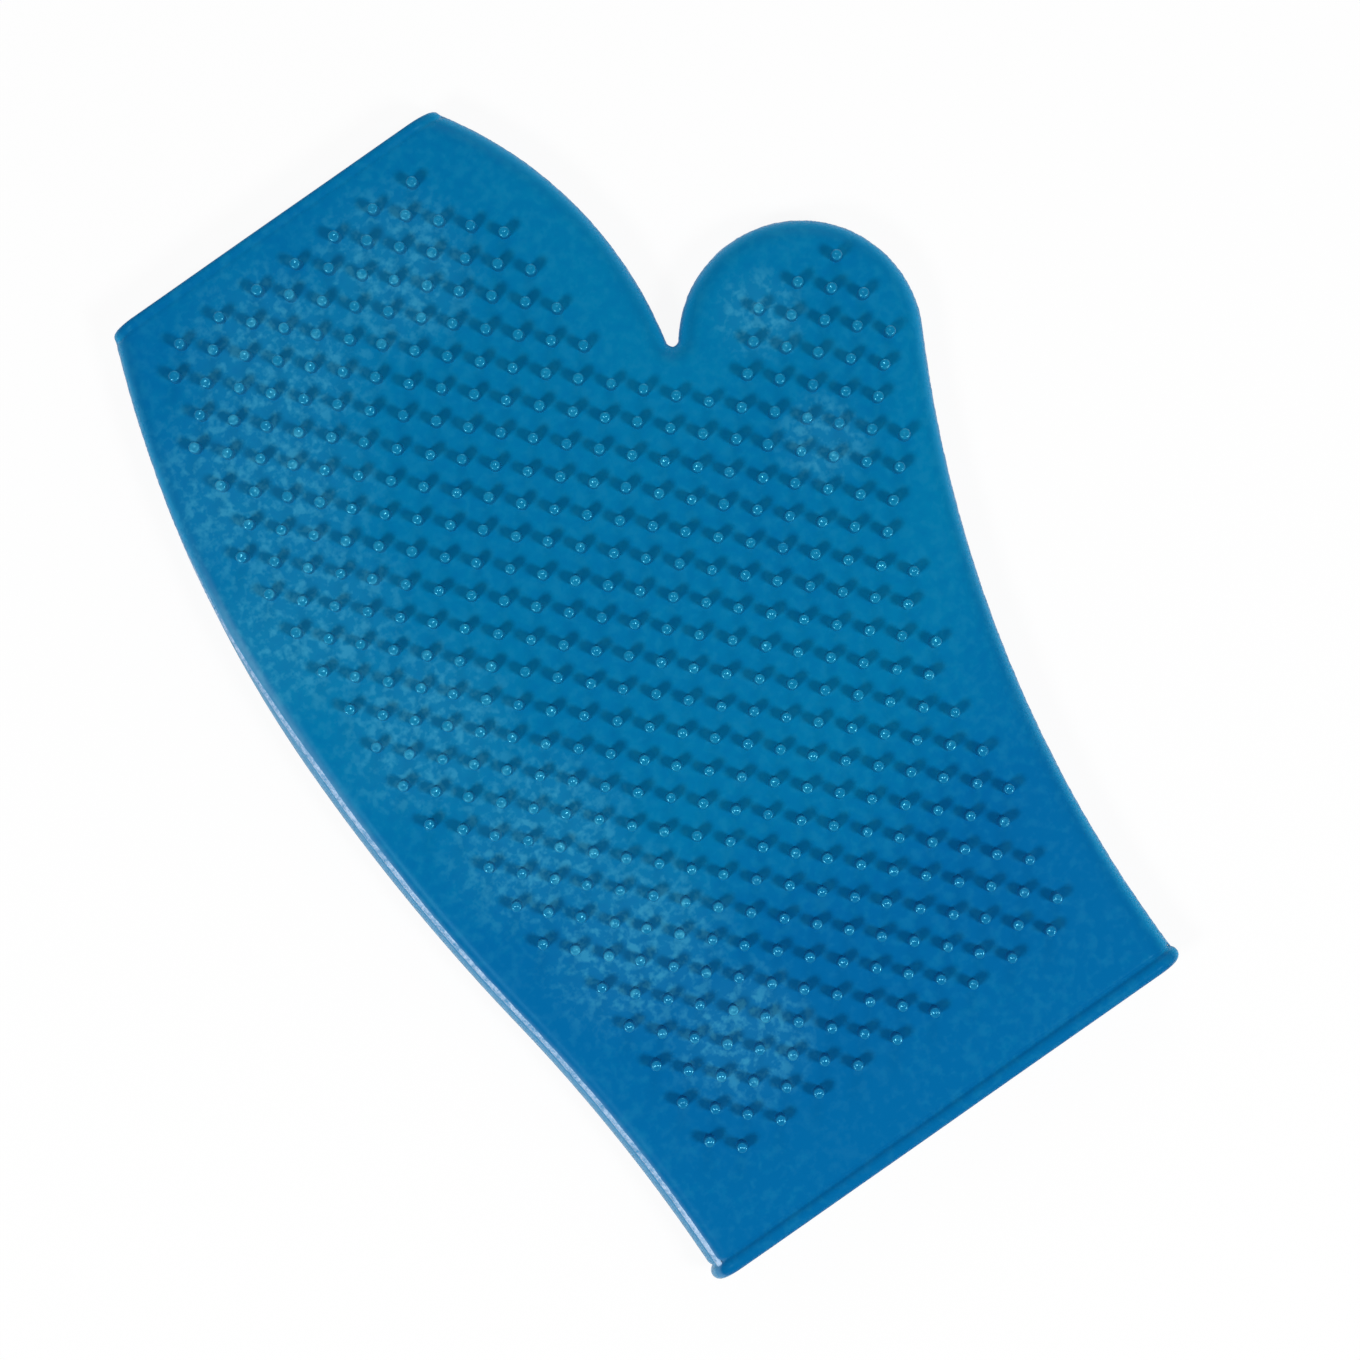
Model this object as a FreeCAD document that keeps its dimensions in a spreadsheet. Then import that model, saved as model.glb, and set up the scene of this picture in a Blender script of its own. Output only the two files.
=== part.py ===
"""Rubber grooming mitt: a flat two-walled mitt with a thumb, open at the cuff and at the finger end.

Millimetres. +Z is up, through the palm side with its long nubs; +Y runs from the cuff to the finger
end; +X runs towards the thumb. The mitt lies on the short pimples of its back, at Z = 0. The whole
mitt is one rubber moulding, cut here into its two mould halves, its stiffer walls, the bands that
bend at the wrist, the knuckles and the root of the thumb, its rolled rims, nubs and flash line.
"""

import FreeCAD, Part
import Sketcher
import math
import os

os.makedirs("parts", exist_ok=True)
doc = FreeCAD.newDocument("grooming_mitt")
Vector = FreeCAD.Vector

# Driving dimensions, in millimetres and degrees
DIMENSIONS = [
    ("cuff_end", -115.0, "Y of the cuff end, outside of its rim"),
    ("finger_end", 115.0, "Y of the finger end, outside of its rim"),
    ("overrun", 8.0, "how far the outline runs on past both ends before the walls are cut"),
    ("half_thickness", 5.6, "from the parting plane to the outer face of a wall"),
    ("edge_round", 5.4, "outer rounding along the sides"),
    ("wall", 1.8, "rubber wall"),
    ("outer_widest_x", -79.0, "X of the widest point of the little-finger side"),
    ("outer_widest_y", 18.6, "Y of the same point"),
    ("outer_finger_radius", 259.0, "side curve from the widest point to the finger end"),
    ("outer_hand_radius", 440.0, "side curve from the widest point to the wrist"),
    ("outer_turn_y", -48.0, "Y where the side curve turns hollow"),
    ("outer_cuff_radius", 364.0, "hollow side curve of the cuff"),
    ("finger_side_x", 33.4, "X of the widest point of the index-finger side"),
    ("finger_side_y", 68.0, "Y of the same point"),
    ("finger_side_radius", 84.0, "curve of the index-finger side"),
    ("thumb_x", 54.0, "X of the centre of the thumb's round end"),
    ("thumb_y", 32.9, "Y of the centre of the thumb's round end"),
    ("thumb_radius", 25.0, "round end of the thumb"),
    ("crotch_radius", 1.5, "bottom of the notch between thumb and fingers"),
    ("cuff_waist_x", 44.9, "X of the narrowest point of the cuff on the thumb side"),
    ("cuff_waist_y", -104.0, "Y of the same point"),
    ("cuff_rim_radius", 1.65, "round rim at the cuff end"),
    ("finger_rim_radius", 1.1, "round rim at the finger end, hardly thicker than the wall"),
    ("rim_band", 6.0, "length of the wall that belongs to a rim, from its outer end"),
    ("wrist_low", -40.0, "Y where the wrist band starts"),
    ("wrist_high", 2.6, "Y where the wrist band ends"),
    ("knuckle_low", 49.9, "Y where the knuckle band starts"),
    ("knuckle_high", 78.3, "Y where the knuckle band ends"),
    ("thumb_crease_angle", -45.0, "direction of the thumb's bending line, from +X"),
    ("thumb_band_start", -0.7, "start of the thumb's band, from the middle of the notch"),
    ("thumb_band_end", 12.0, "end of the thumb's band, from the middle of the notch"),
    ("flash_proud", 0.5, "how far the flash line stands out from the sides"),
    ("flash_thickness", 0.5, "thickness of the flash line"),
    ("nub_pitch", 9.55, "spacing of the nubs in a row, along X"),
    ("row_pitch", 4.73, "spacing of the rows, along Y; every other row is half a pitch along"),
    ("nub_x", -11.83, "X of a nub of an even row"),
    ("nub_y", 0.25, "Y of row 0"),
    ("nub_height", 4.0, "palm nub"),
    ("nub_root_radius", 1.15, "palm nub at the wall"),
    ("nub_tip_radius", 0.95, "palm nub at its tip"),
    ("nub_tip_round", 0.45, "rounding of the palm nub's tip"),
    ("pimple_height", 1.2, "back pimple"),
    ("pimple_root_radius", 1.1, "back pimple at the wall"),
    ("pimple_tip_radius", 0.8, "back pimple at its tip"),
    ("pimple_tip_round", 0.4, "rounding of the back pimple's tip"),
    ("plain_outer_finger", 8.9, "plain border on the little-finger side, at the finger end"),
    ("plain_outer_cuff", 14.6, "plain border on the little-finger side, along the cuff"),
    ("plain_outer_y", -47.0, "Y where that border has reached its width along the cuff"),
    ("plain_notch", 10.4, "plain border round the notch"),
    ("plain_finger_side", 14.1, "plain border on the index-finger side"),
    ("plain_finger_y", 53.0, "Y on the index-finger side where that border starts"),
    ("plain_cuff_side", 11.3, "plain border on the thumb side of the cuff"),
    ("plain_thumb", 5.4, "plain border on the outside of the thumb"),
    ("plain_thumb_angle", 60.0, "angle round the thumb's end where that border starts"),
    ("plain_thumb_y", -8.0, "Y on the thumb side where that border ends"),
    ("first_row", -20.0, "row of nubs nearest to the cuff"),
    ("last_row", 22.0, "row of nubs nearest to the finger end"),
]

# Distance within which two points are one, and how many columns of nubs are tried each way
SAME_PLACE = 0.001
COLUMNS_EACH_WAY = 12

dims = doc.addObject("Spreadsheet::Sheet", "dims")
for line, (alias, size, meaning) in enumerate(DIMENSIONS, start=1):
    dims.set(f"A{line}", meaning)
    dims.set(f"B{line}", str(size))
    dims.setAlias(f"B{line}", alias)
doc.recompute()


def dim(alias):
    """A driving dimension as a plain number."""
    return float(getattr(dims, alias))


def flat(x, y):
    return Vector(x, y, 0)


def circles_meet(centre_a, radius_a, centre_b, radius_b):
    """The upper one of the two points, in the XY plane, where two circles meet."""
    across = centre_b - centre_a
    distance = across.Length
    along = (radius_a**2 - radius_b**2 + distance**2) / (2 * distance)
    aside = math.sqrt(radius_a**2 - along**2)
    unit = across / distance
    return centre_a + unit * along + flat(-unit.y, unit.x) * aside


def arc(centre, radius, start, end):
    """The shorter arc of a circle from start to end."""
    middle = (start - centre) + (end - centre)
    return Part.Arc(start, centre + middle * (radius / middle.Length), end)


def side_x(centre, radius, y, side):
    """X at height y on the left (-1) or right (+1) side of a circle."""
    return centre.x + side * math.sqrt(radius**2 - (y - centre.y) ** 2)


# Centres of the outline's curves, each found from the one that it touches
widest = flat(dim("outer_widest_x"), dim("outer_widest_y"))
outer_finger_centre = widest + flat(dim("outer_finger_radius"), 0)
outer_hand_centre = widest + flat(dim("outer_hand_radius"), 0)
turn = flat(
    side_x(outer_hand_centre, dim("outer_hand_radius"), dim("outer_turn_y"), -1),
    dim("outer_turn_y"),
)
outward = (turn - outer_hand_centre) / dim("outer_hand_radius")
outer_cuff_centre = turn + outward * dim("outer_cuff_radius")

finger_side_centre = flat(dim("finger_side_x") - dim("finger_side_radius"), dim("finger_side_y"))
thumb_centre = flat(dim("thumb_x"), dim("thumb_y"))
crotch_centre = circles_meet(
    finger_side_centre,
    dim("finger_side_radius") + dim("crotch_radius"),
    thumb_centre,
    dim("thumb_radius") + dim("crotch_radius"),
)
# The hollow curve from the cuff to the thumb is upright at the cuff's waist and touches the thumb's
# round end: (radius - reach_x)^2 + reach_y^2 = (radius + thumb_radius)^2
reach_x = dim("thumb_x") - dim("cuff_waist_x")
reach_y = dim("thumb_y") - dim("cuff_waist_y")
inner_cuff_radius = (reach_x**2 + reach_y**2 - dim("thumb_radius") ** 2) / (
    2 * (reach_x + dim("thumb_radius"))
)
inner_cuff_centre = flat(dim("cuff_waist_x") + inner_cuff_radius, dim("cuff_waist_y"))


def touch(centre_a, radius_a, centre_b):
    """Where a circle touches another one outside it."""
    return centre_a + (centre_b - centre_a) * (radius_a / (centre_b - centre_a).Length)


def outer_side_x(y):
    """X of the little-finger side at height y."""
    if y > dim("outer_widest_y"):
        return side_x(outer_finger_centre, dim("outer_finger_radius"), y, -1)
    if y > dim("outer_turn_y"):
        return side_x(outer_hand_centre, dim("outer_hand_radius"), y, -1)
    return side_x(outer_cuff_centre, dim("outer_cuff_radius"), y, 1)


low = dim("cuff_end") - dim("overrun")
high = dim("finger_end") + dim("overrun")
cuff_outer = flat(outer_side_x(low), low)
cuff_inner = flat(side_x(inner_cuff_centre, inner_cuff_radius, low, -1), low)
thumb_start = touch(thumb_centre, dim("thumb_radius"), inner_cuff_centre)
thumb_stop = touch(thumb_centre, dim("thumb_radius"), crotch_centre)
finger_start = touch(finger_side_centre, dim("finger_side_radius"), crotch_centre)
finger_inner = flat(side_x(finger_side_centre, dim("finger_side_radius"), high, 1), high)
finger_outer = flat(outer_side_x(high), high)

# The outline of the mitt, drawn on the parting plane. Smooth meetings are tangent.
outline = doc.addObject("Sketcher::SketchObject", "mitt_outline")
curves = {
    "cuff_line": Part.LineSegment(cuff_outer, cuff_inner),
    "inner_cuff": arc(inner_cuff_centre, inner_cuff_radius, cuff_inner, thumb_start),
    "thumb": arc(thumb_centre, dim("thumb_radius"), thumb_start, thumb_stop),
    "crotch": arc(crotch_centre, dim("crotch_radius"), thumb_stop, finger_start),
    "finger_side": arc(finger_side_centre, dim("finger_side_radius"), finger_start, finger_inner),
    "finger_line": Part.LineSegment(finger_inner, finger_outer),
    "outer_finger": arc(outer_finger_centre, dim("outer_finger_radius"), finger_outer, widest),
    "outer_hand": arc(outer_hand_centre, dim("outer_hand_radius"), widest, turn),
    "outer_cuff": arc(outer_cuff_centre, dim("outer_cuff_radius"), turn, cuff_outer),
}
order = list(curves)
for curve in curves.values():
    outline.addGeometry(curve, False)


def end_near(number, point):
    """Which end, 1 or 2, of an outline curve lies at a point."""
    first = outline.getPoint(number, 1)
    return 1 if (first - point).Length < (outline.getPoint(number, 2) - point).Length else 2


meetings = [
    cuff_inner, thumb_start, thumb_stop, finger_start, finger_inner, finger_outer, widest, turn,
    cuff_outer,
]
for number, point in enumerate(meetings):
    following = (number + 1) % len(order)
    corner = {"cuff_line", "finger_line"} & {order[number], order[following]}
    meeting = Sketcher.Constraint(
        "Coincident" if corner else "Tangent",
        number,
        end_near(number, point),
        following,
        end_near(following, point),
    )
    outline.addConstraint(meeting)
driven_radii = {
    "thumb": "thumb_radius",
    "crotch": "crotch_radius",
    "finger_side": "finger_side_radius",
    "outer_finger": "outer_finger_radius",
    "outer_hand": "outer_hand_radius",
    "outer_cuff": "outer_cuff_radius",
}
for name, alias in driven_radii.items():
    place = outline.addConstraint(Sketcher.Constraint("Radius", order.index(name), dim(alias)))
    outline.renameConstraint(place, alias)
    outline.setExpression(f"Constraints.{alias}", f"dims.{alias}")
doc.recompute()


def slab(name, base, thickness, below="0"):
    """A flat slab of an outline, up from the parting plane and, where asked, down from it."""
    thing = doc.addObject("Part::Extrusion", name)
    thing.Base = base
    thing.DirMode = "Custom"
    thing.Dir = Vector(0, 0, 1)
    thing.Solid = True
    thing.setExpression("LengthFwd", thickness)
    thing.setExpression("LengthRev", below)
    return thing


def grown(name, by):
    """The outline moved outwards by a distance, or inwards where it is negative."""
    thing = doc.addObject("Part::Offset2D", name)
    thing.Source = outline
    thing.Join = "Intersection"
    thing.setExpression("Value", by)
    return thing


def rounded(name, base, radius):
    """A slab whose upper edges are rounded along the sides, and left square at the two ends."""
    doc.recompute()
    top = base.Shape.BoundBox.ZMax
    edges = []
    for number, edge in enumerate(base.Shape.Edges, start=1):
        box = edge.BoundBox
        on_top = abs(box.ZMin - top) < SAME_PLACE and abs(box.ZMax - top) < SAME_PLACE
        if on_top and not isinstance(edge.Curve, Part.Line):
            edges.append((number, radius, radius))
    thing = doc.addObject("Part::Fillet", name)
    thing.Base = base
    thing.Edges = edges
    return thing


def pair(kind, name, base, tool):
    """A Cut or Common of two solids."""
    thing = doc.addObject(f"Part::{kind}", name)
    thing.Base = base
    thing.Tool = tool
    return thing


# The palm half: an outer form with rounded sides, less the core that the hand's space leaves
outer_form = rounded(
    "outer_form",
    slab("outer_slab", outline, "dims.half_thickness"),
    dim("edge_round"),
)
core_form = rounded(
    "core_form",
    slab("core_slab", grown("core_outline", "-dims.wall"), "dims.half_thickness - dims.wall"),
    dim("edge_round") - dim("wall"),
)
palm_half = pair("Cut", "palm_half", outer_form, core_form)

# The back half is the palm half turned over on the parting plane
back_half = doc.addObject("Part::Mirroring", "back_half")
back_half.Source = palm_half
back_half.Normal = Vector(0, 0, 1)

# The flash line: the thin ridge that the mould leaves all round the parting plane
half_flash = "dims.flash_thickness / 2"
flash_outline = grown("flash_outline", "dims.flash_proud")
flash_ring = pair(
    "Cut",
    "flash_ring",
    slab("flash_slab", flash_outline, half_flash, half_flash),
    slab("flash_inside", outline, half_flash, half_flash),
)

# Blocks that share the mitt out into its regions. Across and up they clear the whole mitt.
REACH = 100.0


def block(name, y_from, y_to, x_from=str(-REACH), x_to=str(REACH)):
    thing = doc.addObject("Part::Box", name)
    thing.Height = 2 * REACH
    thing.setExpression("Length", f"({x_to}) - ({x_from})")
    thing.setExpression("Width", f"({y_to}) - ({y_from})")
    thing.setExpression("Placement.Base.x", x_from)
    thing.setExpression("Placement.Base.y", y_from)
    thing.Placement.Base.z = -REACH
    return thing


def thumb_block(name, start, stop):
    """A block that starts beside the notch: its length runs along the thumb's bending line."""
    thing = doc.addObject("Part::Box", name)
    thing.Length = REACH
    thing.Width = stop - start
    thing.Height = 2 * REACH
    crease = FreeCAD.Rotation(Vector(0, 0, 1), dim("thumb_crease_angle"))
    corner = crotch_centre + crease.multVec(Vector(0, start, -REACH))
    thing.Placement = FreeCAD.Placement(corner, crease)
    return thing


thumb_low = dim("thumb_band_start")
thumb_high = dim("thumb_band_end")
whole_thumb = thumb_block("whole_thumb", thumb_low, REACH)
rim_inner_end = "dims.cuff_end + dims.rim_band"
finger_rim_start = "dims.finger_end - dims.rim_band"
regions = {
    "cuff": block("cuff_block", rim_inner_end, "dims.wrist_low"),
    "wrist_band": block("wrist_block", "dims.wrist_low", "dims.wrist_high"),
    "hand": pair(
        "Cut",
        "hand_block",
        block("hand_span", "dims.wrist_high", "dims.knuckle_low"),
        whole_thumb,
    ),
    "knuckle_band": block(
        "knuckle_block",
        "dims.knuckle_low",
        "dims.knuckle_high",
        x_to="dims.finger_side_x + 2 * dims.flash_proud",
    ),
    "fingers": block("finger_block", "dims.knuckle_high", finger_rim_start),
    "thumb_band": thumb_block("thumb_band_block", thumb_low, thumb_high),
    "thumb": thumb_block("thumb_end_block", thumb_high, REACH),
}

parts = []
LIFT = "dims.pimple_height + dims.half_thickness"


def finish(thing, label):
    """Lifts a finished piece from the parting plane to its height above the table, and names it."""
    thing.Label = label
    thing.setExpression("Placement.Base.z", LIFT)
    parts.append(thing)


for region, region_block in regions.items():
    finish(pair("Common", f"{region}_palm_wall", palm_half, region_block), f"{region}_palm_wall")
    finish(pair("Common", f"{region}_back_wall", back_half, region_block), f"{region}_back_wall")
    finish(pair("Common", f"{region}_flash", flash_ring, region_block), f"{region}_flash_line")


def rim(label, name, radius, centre_y, x_outer, x_inner, neck_from, neck_to):
    """A rolled rim: a round bead all round an open end, on a short neck of both walls."""
    middle_of_wall = dim("half_thickness") - dim("wall") / 2
    upright = FreeCAD.Rotation(Vector(1, 0, 0), 90)
    pieces = []
    for side, x, inwards in (("outer", x_outer, 1), ("inner", x_inner, -1)):
        bend = doc.addObject("Part::Torus", f"{name}_{side}_bend")
        bend.setExpression("Radius1", "dims.half_thickness - dims.wall / 2")
        bend.setExpression("Radius2", radius)
        bend.Angle3 = 180.0
        bend.Placement = FreeCAD.Placement(
            Vector(x + inwards * dim("half_thickness"), centre_y, 0),
            upright.multiply(FreeCAD.Rotation(Vector(0, 0, 1), 90.0 * inwards)),
        )
        pieces.append(bend)
    for face, sign in (("palm", 1), ("back", -1)):
        run = doc.addObject("Part::Cylinder", f"{name}_{face}_run")
        run.setExpression("Radius", radius)
        run.Height = x_inner - x_outer - 2 * dim("half_thickness")
        run.Placement = FreeCAD.Placement(
            Vector(x_outer + dim("half_thickness"), centre_y, sign * middle_of_wall),
            FreeCAD.Rotation(Vector(0, 1, 0), 90),
        )
        pieces.append(run)
    neck = block(f"{name}_neck_block", neck_from, neck_to)
    for half in (palm_half, back_half):
        pieces.append(pair("Common", f"{name}_neck_{half.Name}", half, neck))
    whole = doc.addObject("Part::MultiFuse", name)
    whole.Shapes = pieces
    finish(whole, label)


cuff_rim_y = dim("cuff_end") + dim("cuff_rim_radius")
finger_rim_y = dim("finger_end") - dim("finger_rim_radius")
rim(
    "cuff_rim",
    "cuff_rim_ring",
    "dims.cuff_rim_radius",
    cuff_rim_y,
    outer_side_x(cuff_rim_y),
    side_x(inner_cuff_centre, inner_cuff_radius, cuff_rim_y, -1),
    "dims.cuff_end + dims.cuff_rim_radius",
    rim_inner_end,
)
rim(
    "finger_rim",
    "finger_rim_ring",
    "dims.finger_rim_radius",
    finger_rim_y,
    outer_side_x(finger_rim_y),
    side_x(finger_side_centre, dim("finger_side_radius"), finger_rim_y, 1),
    finger_rim_start,
    "dims.finger_end - dims.finger_rim_radius",
)
doc.recompute()

# Where nubs and pimples stand: a staggered lattice inside the plain borders
round_the_thumb = FreeCAD.Rotation(Vector(0, 0, 1), dim("plain_thumb_angle"))
border_start = thumb_centre + round_the_thumb.multVec(Vector(dim("thumb_radius"), 0, 0))
border_end = flat(
    side_x(inner_cuff_centre, inner_cuff_radius, dim("plain_thumb_y"), -1),
    dim("plain_thumb_y"),
)
thumb_edges = [
    arc(thumb_centre, dim("thumb_radius"), thumb_start, border_start).toShape(),
    arc(inner_cuff_centre, inner_cuff_radius, border_end, thumb_start).toShape(),
]
finger_start_y = dim("plain_finger_y")
side_start = flat(
    side_x(finger_side_centre, dim("finger_side_radius"), finger_start_y, 1),
    finger_start_y,
)
notch_edges = [
    arc(thumb_centre, dim("thumb_radius"), border_start, thumb_stop).toShape(),
    curves["crotch"].toShape(),
    curves["finger_side"].toShape(),
]
finger_edges = [
    arc(finger_side_centre, dim("finger_side_radius"), side_start, finger_inner).toShape(),
]
cuff_edges = [arc(inner_cuff_centre, inner_cuff_radius, cuff_inner, border_end).toShape()]
outer_edges = [curves[name].toShape() for name in ("outer_finger", "outer_hand", "outer_cuff")]
mitt_face = Part.Face(Part.Wire([curve.toShape() for curve in curves.values()]))


def clear_of(point, edges):
    """Distance from a point to the nearest of some edges."""
    spot = Part.Vertex(point)
    return min(spot.distToShape(edge)[0] for edge in edges)


def in_field(point):
    """Whether a nub stands here, inside all the plain borders."""
    if not mitt_face.isInside(point, SAME_PLACE, True):
        return False
    towards_cuff = (dim("finger_end") - point.y) / (dim("finger_end") - dim("plain_outer_y"))
    outer_border = dim("plain_outer_finger") + min(1.0, towards_cuff) * (
        dim("plain_outer_cuff") - dim("plain_outer_finger")
    )
    return (
        clear_of(point, outer_edges) >= outer_border
        and clear_of(point, notch_edges) >= dim("plain_notch")
        and clear_of(point, finger_edges) >= dim("plain_finger_side")
        and clear_of(point, cuff_edges) >= dim("plain_cuff_side")
        and clear_of(point, thumb_edges) >= dim("plain_thumb")
    )


field = []
for row in range(int(dim("first_row")), int(dim("last_row")) + 1):
    for column in range(-COLUMNS_EACH_WAY, COLUMNS_EACH_WAY + 1):
        point = flat(
            dim("nub_x") + dim("nub_pitch") * (column + 0.5 * (row % 2)),
            dim("nub_y") + dim("row_pitch") * row,
        )
        if in_field(point):
            field.append(point)


def region_of(point):
    """The region whose block holds a point of the parting plane."""
    for region, region_block in regions.items():
        if region_block.Shape.isInside(point, SAME_PLACE, True):
            return region
    raise ValueError(f"no region holds {point}")


def studs(height, root_radius, tip_radius, tip_round):
    """One stud standing on Z = 0: slightly tapered, with a rounded tip."""
    stud = Part.makeCone(root_radius, tip_radius, height)
    rim_edges = [edge for edge in stud.Edges if edge.BoundBox.ZMin > height / 2]
    return stud.makeFillet(tip_round, rim_edges)


nub = studs(dim("nub_height"), dim("nub_root_radius"), dim("nub_tip_radius"), dim("nub_tip_round"))
pimple = studs(
    dim("pimple_height"),
    dim("pimple_root_radius"),
    dim("pimple_tip_radius"),
    dim("pimple_tip_round"),
)
turned_over = FreeCAD.Rotation(Vector(1, 0, 0), 180)

# The pimples that carry the mitt on a table are the ones nearest to these points of each body
REST_POINTS = {
    "cuff": [flat(-52, -90), flat(28, -90), flat(-55, -50), flat(32, -50)],
    "hand": [flat(-60, 10), flat(50, 10), flat(-60, 45), flat(20, 45)],
    "fingers": [flat(-40, 98), flat(5, 98)],
    "thumb": [flat(62, 36)],
}
resting = {}
for region, spots in REST_POINTS.items():
    mine = [point for point in field if region_of(point) == region]
    resting[region] = [min(mine, key=lambda p: (p - spot).Length) for spot in spots]


def group(label, name, stud, turn_it, height, points):
    """A group of like studs, one solid each, standing on a wall's outer face."""
    copies = []
    for point in points:
        copy = stud.copy()
        copy.Placement = FreeCAD.Placement(
            Vector(point.x, point.y, height),
            turned_over if turn_it else FreeCAD.Rotation(),
        )
        copies.append(copy)
    thing = doc.addObject("Part::Feature", name)
    thing.Shape = Part.makeCompound(copies)
    finish(thing, label)


for region in regions:
    mine = [point for point in field if region_of(point) == region]
    carrying = resting.get(region, [])
    others = [point for point in mine if point not in carrying]
    face = dim("half_thickness")
    group(f"{region}_palm_nubs", f"{region}_nubs", nub, False, face, mine)
    group(f"{region}_back_pimples", f"{region}_pimples", pimple, True, -face, others)
    if carrying:
        group(f"{region}_rest_pimples", f"{region}_rests", pimple, True, -face, carrying)
doc.recompute()

for thing in doc.Objects:
    if {"Invalid", "Error"} & set(thing.State):
        raise RuntimeError(f"{thing.Label} did not compute: {thing.State}")
for thing in parts:
    if thing.Shape.isNull() or not thing.Shape.isValid():
        raise RuntimeError(f"{thing.Label} has no sound shape")

volume = 0.0
for thing in parts:
    thing.Shape.exportStep(f"parts/{thing.Label}.step")
    volume += thing.Shape.Volume
    print(f"{thing.Label}: {len(thing.Shape.Solids)} solids, {thing.Shape.Volume:.0f} mm3")
print(f"{len(parts)} nodes, {len(field)} nubs, {volume / 1000:.1f} cm3")
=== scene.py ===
import math

import bmesh
import bpy
import numpy as np
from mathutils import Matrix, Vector, geometry, noise


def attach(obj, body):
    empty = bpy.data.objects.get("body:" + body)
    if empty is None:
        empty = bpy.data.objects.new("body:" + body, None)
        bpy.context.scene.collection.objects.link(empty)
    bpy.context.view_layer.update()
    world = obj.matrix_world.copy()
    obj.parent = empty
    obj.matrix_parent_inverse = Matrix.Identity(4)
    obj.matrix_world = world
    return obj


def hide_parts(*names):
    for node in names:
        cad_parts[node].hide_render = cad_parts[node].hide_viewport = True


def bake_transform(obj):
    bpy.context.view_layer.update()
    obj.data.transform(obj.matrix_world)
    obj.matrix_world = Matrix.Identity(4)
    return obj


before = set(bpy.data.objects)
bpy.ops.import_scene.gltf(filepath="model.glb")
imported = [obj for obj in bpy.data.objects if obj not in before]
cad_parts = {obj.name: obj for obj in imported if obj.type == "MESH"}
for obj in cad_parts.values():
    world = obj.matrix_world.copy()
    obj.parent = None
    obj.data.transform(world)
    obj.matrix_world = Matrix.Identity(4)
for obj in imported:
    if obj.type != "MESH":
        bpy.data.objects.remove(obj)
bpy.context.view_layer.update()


# The rubber. One blue natural-rubber compound, pressed and cured in a two-part mould: satin, a little
# uneven in colour, and dusted in patches with the pale bloom that works its way out of such rubber.
# It is darker along the plain borders and the cuff, and lighter and greener in the middle of the palm.

# The places of a Mix node's share, first colour, second colour and resulting colour
MIX_SHARE, MIX_FIRST, MIX_SECOND, MIX_RESULT = 0, 6, 7, 2
MOULDED_AT = "moulded_at"


class Value:
    """A socket that adds Math nodes when it is used in a sum."""

    def __init__(self, shader, socket):
        self.shader = shader
        self.socket = socket

    def maths(self, operation, other, clamp=False):
        settings = {"operation": operation, "use_clamp": clamp}
        return self.shader.node("ShaderNodeMath", settings, {0: self, 1: other})

    def __add__(self, other):
        return self.maths("ADD", other)

    __radd__ = __add__

    def __sub__(self, other):
        return self.maths("SUBTRACT", other)

    def __rsub__(self, other):
        return self * -1 + other

    def __mul__(self, other):
        return self.maths("MULTIPLY", other)

    __rmul__ = __mul__

    def clamped(self):
        """Held between 0 and 1."""
        return self.maths("ADD", 0, clamp=True)

    def swing(self, size):
        """Noise, which lies round a half, as a swing round zero."""
        return (self - 0.5) * size

    def rise(self, low, high):
        """0 below low, 1 above high and smooth between them; falls instead where low is above high."""
        given = {"Value": self, "From Min": low, "From Max": high}
        return self.shader.node("ShaderNodeMapRange", {"interpolation_type": "SMOOTHSTEP"}, given)


class Shader:
    """The nodes of a new material or world, added to the shader that it starts with."""

    def __init__(self, owner, main):
        owner.use_nodes = True
        self.owner = owner
        self.tree = owner.node_tree
        self.main = self.tree.nodes[main]

    def connect(self, node, sockets):
        for name, value in sockets.items():
            if isinstance(value, Value):
                self.tree.links.new(value.socket, node.inputs[name])
            else:
                node.inputs[name].default_value = value

    def node(self, kind, settings=None, sockets=None, output=0):
        made = self.tree.nodes.new(kind)
        for name, value in (settings or {}).items():
            setattr(made, name, value)
        self.connect(made, sockets or {})
        return Value(self, made.outputs[output])

    def moulded_place(self):
        """Where a point of the rubber lay in the mould, which stays when the mitt bends."""
        return self.node("ShaderNodeAttribute", {"attribute_name": MOULDED_AT}, output="Vector")

    def part(self, vector, axis):
        """One of a vector's three numbers."""
        return self.node("ShaderNodeSeparateXYZ", None, {0: vector}, output=axis)

    def blend(self, share, first, second):
        """A colour: first where share is 0, second where it is 1."""
        colours = {MIX_SHARE: share, MIX_FIRST: first, MIX_SECOND: second}
        return self.node("ShaderNodeMix", {"data_type": "RGBA"}, colours, output=MIX_RESULT)

    def speckle(self, place, scale, detail, roughness, distortion=0.0):
        """Noise with features about 1/scale metres across."""
        given = {
            "Vector": place,
            "Scale": scale,
            "Detail": detail,
            "Roughness": roughness,
            "Distortion": distortion,
        }
        return self.node("ShaderNodeTexNoise", None, given)

    def bump(self, height, strength, distance):
        given = {"Height": height, "Strength": strength, "Distance": distance}
        return self.node("ShaderNodeBump", None, given)


def rgba(red, green, blue):
    return (red, green, blue, 1.0)


MM = 0.001
DEEP_BLUE = rgba(0.0002, 0.128, 0.346)
SEA_BLUE = rgba(0.0003, 0.178, 0.376)
BLOOM_BLUE = rgba(0.040, 0.310, 0.505)
TIP_HIGHLIGHT_BLUE = rgba(0.012, 0.330, 0.520)
SIDE_REFLECTION_BLUE = rgba(0.005, 0.275, 0.550)
EDGE_BLUE = rgba(0.140, 0.350, 0.560)
GLINT = rgba(0.22, 0.84, 1.0)

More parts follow.
